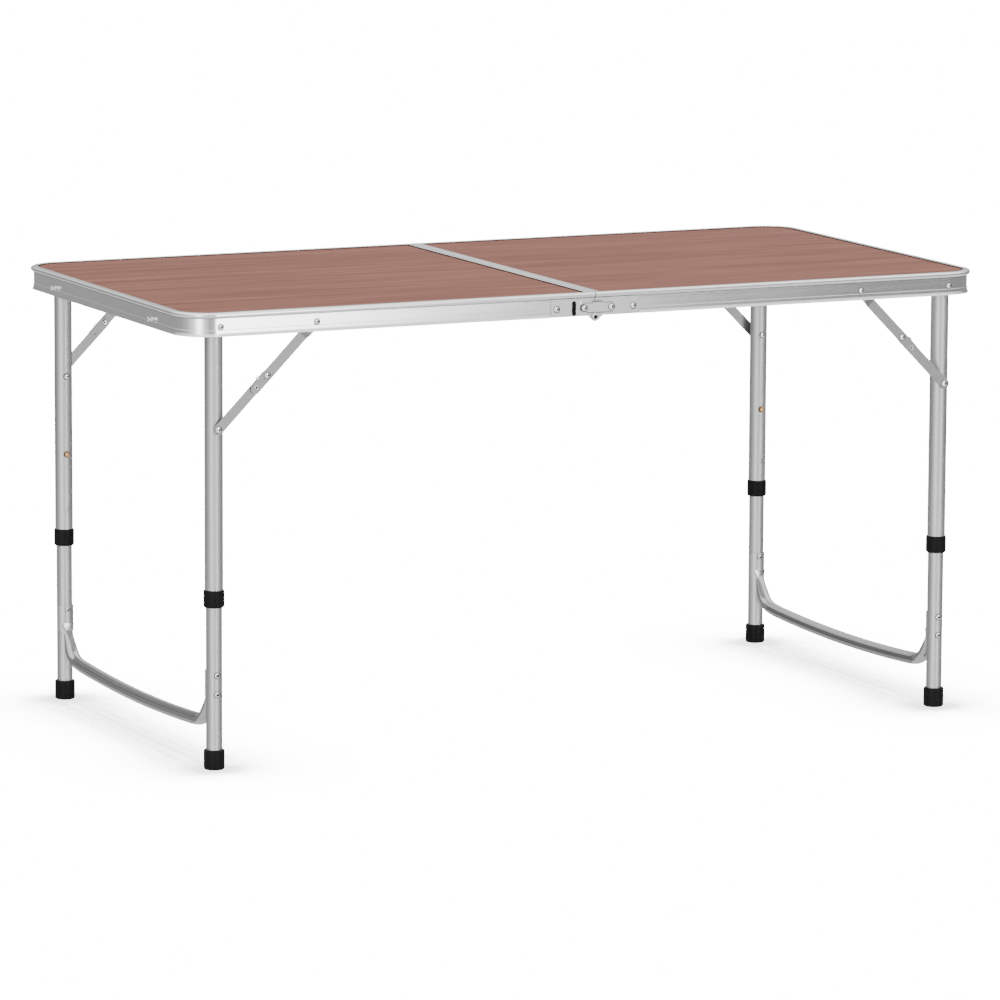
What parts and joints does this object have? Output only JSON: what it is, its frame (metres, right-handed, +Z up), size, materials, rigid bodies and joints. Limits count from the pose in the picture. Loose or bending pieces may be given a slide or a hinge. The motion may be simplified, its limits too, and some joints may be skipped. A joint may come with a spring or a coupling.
{
  "type": "folding picnic table",
  "caption": "Folding table with a two-part wood-grain top in an aluminium rim, hinged in the middle, on telescopic fold-in legs with flat braces and low crossbars.",
  "frame": {"origin": "on the floor, under the middle of the open top", "axes": "+X along the top towards the end with the handle, +Y across the top towards the back, +Z up"},
  "size_m": [1.2092, 0.6032, 0.618],
  "materials": {
    "frame_aluminium": "satin extruded aluminium edging",
    "leg_tube": "satin drawn aluminium tube",
    "brace_strip": "flat strip, satin zinc-plated steel",
    "rivet_steel": "bright zinc-plated steel",
    "wood_laminate": "printed wood-grain laminate on thin board",
    "black_plastic": "moulded black plastic",
    "button_brass": "brass-coloured snap button"
  },
  "bodies": {
    "left_half": {"rim_left": "frame_aluminium", "centre_rail_left": "frame_aluminium", "panel_left": "wood_laminate", "hinge_plate_left_front": "rivet_steel", "hinge_plate_left_back": "rivet_steel", "hinge_pin_front": "rivet_steel", "hinge_pin_back": "rivet_steel", "leg_pivot_fl": "rivet_steel", "leg_pivot_bl": "rivet_steel", "catch_stud_front": "rivet_steel", "catch_stud_back": "rivet_steel"},
    "right_half": {"rim_right": "frame_aluminium", "centre_rail_right": "frame_aluminium", "panel_right": "wood_laminate", "hinge_plate_right_front": "rivet_steel", "hinge_plate_right_back": "rivet_steel", "leg_pivot_fr": "rivet_steel", "leg_pivot_br": "rivet_steel", "hasp_base_front": "rivet_steel", "hasp_base_back": "rivet_steel", "handle_bracket_front": "black_plastic", "handle_bracket_back": "black_plastic"},
    "left_legs": {"leg_outer_fl": "leg_tube", "leg_outer_bl": "leg_tube", "collar_fl": "black_plastic", "collar_bl": "black_plastic"},
    "left_feet": {"leg_inner_fl": "leg_tube", "leg_inner_bl": "leg_tube", "foot_fl": "black_plastic", "foot_bl": "black_plastic", "crossbar_left": "leg_tube"},
    "right_legs": {"leg_outer_fr": "leg_tube", "leg_outer_br": "leg_tube", "collar_fr": "black_plastic", "collar_br": "black_plastic"},
    "right_feet": {"leg_inner_fr": "leg_tube", "leg_inner_br": "leg_tube", "foot_fr": "black_plastic", "foot_br": "black_plastic", "crossbar_right": "leg_tube"},
    "brace_upper_fl": {"brace_upper_fl": "brace_strip"},
    "brace_lower_fl": {"brace_lower_fl": "brace_strip"},
    "snap_button_fl": {"snap_button_fl": "button_brass"},
    "brace_upper_fr": {"brace_upper_fr": "brace_strip"},
    "brace_lower_fr": {"brace_lower_fr": "brace_strip"},
    "snap_button_fr": {"snap_button_fr": "button_brass"},
    "brace_upper_bl": {"brace_upper_bl": "brace_strip"},
    "brace_lower_bl": {"brace_lower_bl": "brace_strip"},
    "snap_button_bl": {"snap_button_bl": "button_brass"},
    "brace_upper_br": {"brace_upper_br": "brace_strip"},
    "brace_lower_br": {"brace_lower_br": "brace_strip"},
    "snap_button_br": {"snap_button_br": "button_brass"},
    "hinge_hook_front": {"hinge_hook_front": "rivet_steel"},
    "hasp_front": {"hasp_front": "rivet_steel"},
    "hinge_hook_back": {"hinge_hook_back": "rivet_steel"},
    "hasp_back": {"hasp_back": "rivet_steel"},
    "carry_handle": {"carry_handle": "black_plastic"}
  },
  "joints": [
    {"name": "top_fold", "type": "hinge", "parent": "left_half", "child": "right_half", "pos_m": [0, 0, 0.5845], "axis": [0, -1, 0], "range_deg": [-75, 0]},
    {"name": "left_leg_fold", "type": "hinge", "parent": "left_half", "child": "left_legs", "pos_m": [-0.5487, 0, 0.599], "axis": [0, -1, 0], "range_deg": [0, 85]},
    {"name": "left_leg_slide", "type": "slide", "parent": "left_legs", "child": "left_feet", "axis": [0, 0, 1], "range_m": [-0.077, 0.065]},
    {"name": "right_leg_fold", "type": "hinge", "parent": "right_half", "child": "right_legs", "pos_m": [0.5487, 0, 0.599], "axis": [0, 1, 0], "range_deg": [0, 85]},
    {"name": "right_leg_slide", "type": "slide", "parent": "right_legs", "child": "right_feet", "axis": [0, 0, 1], "range_m": [-0.077, 0.065]},
    {"name": "brace_upper_turn_fl", "type": "hinge", "parent": "left_half", "child": "brace_upper_fl", "pos_m": [-0.4102, -0.292, 0.599], "axis": [0, 1, 0], "range_deg": [0, 42.5]},
    {"name": "brace_lower_turn_fl", "type": "hinge", "parent": "left_legs", "child": "brace_lower_fl", "pos_m": [-0.5487, -0.288, 0.4605], "axis": [0, -1, 0], "range_deg": [0, 42.5]},
    {"name": "button_press_fl", "type": "slide", "parent": "left_legs", "child": "snap_button_fl", "axis": [0, -1, 0], "range_m": [0, 0.003], "stiffness_N_per_m": 300},
    {"name": "brace_upper_turn_fr", "type": "hinge", "parent": "right_half", "child": "brace_upper_fr", "pos_m": [0.4102, -0.292, 0.599], "axis": [0, -1, 0], "range_deg": [0, 42.5]},
    {"name": "brace_lower_turn_fr", "type": "hinge", "parent": "right_legs", "child": "brace_lower_fr", "pos_m": [0.5487, -0.288, 0.4605], "axis": [0, 1, 0], "range_deg": [0, 42.5]},
    {"name": "button_press_fr", "type": "slide", "parent": "right_legs", "child": "snap_button_fr", "axis": [0, -1, 0], "range_m": [0, 0.003], "stiffness_N_per_m": 300},
    {"name": "brace_upper_turn_bl", "type": "hinge", "parent": "left_half", "child": "brace_upper_bl", "pos_m": [-0.4102, 0.292, 0.599], "axis": [0, 1, 0], "range_deg": [0, 42.5]},
    {"name": "brace_lower_turn_bl", "type": "hinge", "parent": "left_legs", "child": "brace_lower_bl", "pos_m": [-0.5487, 0.288, 0.4605], "axis": [0, -1, 0], "range_deg": [0, 42.5]},
    {"name": "button_press_bl", "type": "slide", "parent": "left_legs", "child": "snap_button_bl", "axis": [0, 1, 0], "range_m": [0, 0.003], "stiffness_N_per_m": 300},
    {"name": "brace_upper_turn_br", "type": "hinge", "parent": "right_half", "child": "brace_upper_br", "pos_m": [0.4102, 0.292, 0.599], "axis": [0, -1, 0], "range_deg": [0, 42.5]},
    {"name": "brace_lower_turn_br", "type": "hinge", "parent": "right_legs", "child": "brace_lower_br", "pos_m": [0.5487, 0.288, 0.4605], "axis": [0, 1, 0], "range_deg": [0, 42.5]},
    {"name": "button_press_br", "type": "slide", "parent": "right_legs", "child": "snap_button_br", "axis": [0, 1, 0], "range_m": [0, 0.003], "stiffness_N_per_m": 300},
    {"name": "hook_lift_front", "type": "hinge", "parent": "right_half", "child": "hinge_hook_front", "pos_m": [0.0242, -0.3, 0.597], "axis": [0, 1, 0], "range_deg": [0, 6]},
    {"name": "hasp_swing_front", "type": "hinge", "parent": "right_half", "child": "hasp_front", "pos_m": [0.6004, -0.1765, 0.6042], "axis": [0, -1, 0], "range_deg": [0, 120]},
    {"name": "hook_lift_back", "type": "hinge", "parent": "right_half", "child": "hinge_hook_back", "pos_m": [0.0242, 0.3, 0.597], "axis": [0, 1, 0], "range_deg": [0, 6]},
    {"name": "hasp_swing_back", "type": "hinge", "parent": "right_half", "child": "hasp_back", "pos_m": [0.6004, 0.1765, 0.6042], "axis": [0, -1, 0], "range_deg": [0, 120]},
    {"name": "handle_swing", "type": "hinge", "parent": "right_half", "child": "carry_handle", "pos_m": [0.6016, 0, 0.5992], "axis": [0, -1, 0], "range_deg": [0, 90]}
  ],
  "couplings": [
    {"joint": "brace_upper_turn_fl", "follows": "left_leg_fold", "ratio": 0.5},
    {"joint": "brace_lower_turn_fl", "follows": "left_leg_fold", "ratio": 0.5},
    {"joint": "brace_upper_turn_fr", "follows": "right_leg_fold", "ratio": 0.5},
    {"joint": "brace_lower_turn_fr", "follows": "right_leg_fold", "ratio": 0.5},
    {"joint": "brace_upper_turn_bl", "follows": "left_leg_fold", "ratio": 0.5},
    {"joint": "brace_lower_turn_bl", "follows": "left_leg_fold", "ratio": 0.5},
    {"joint": "brace_upper_turn_br", "follows": "right_leg_fold", "ratio": 0.5},
    {"joint": "brace_lower_turn_br", "follows": "right_leg_fold", "ratio": 0.5}
  ]
}
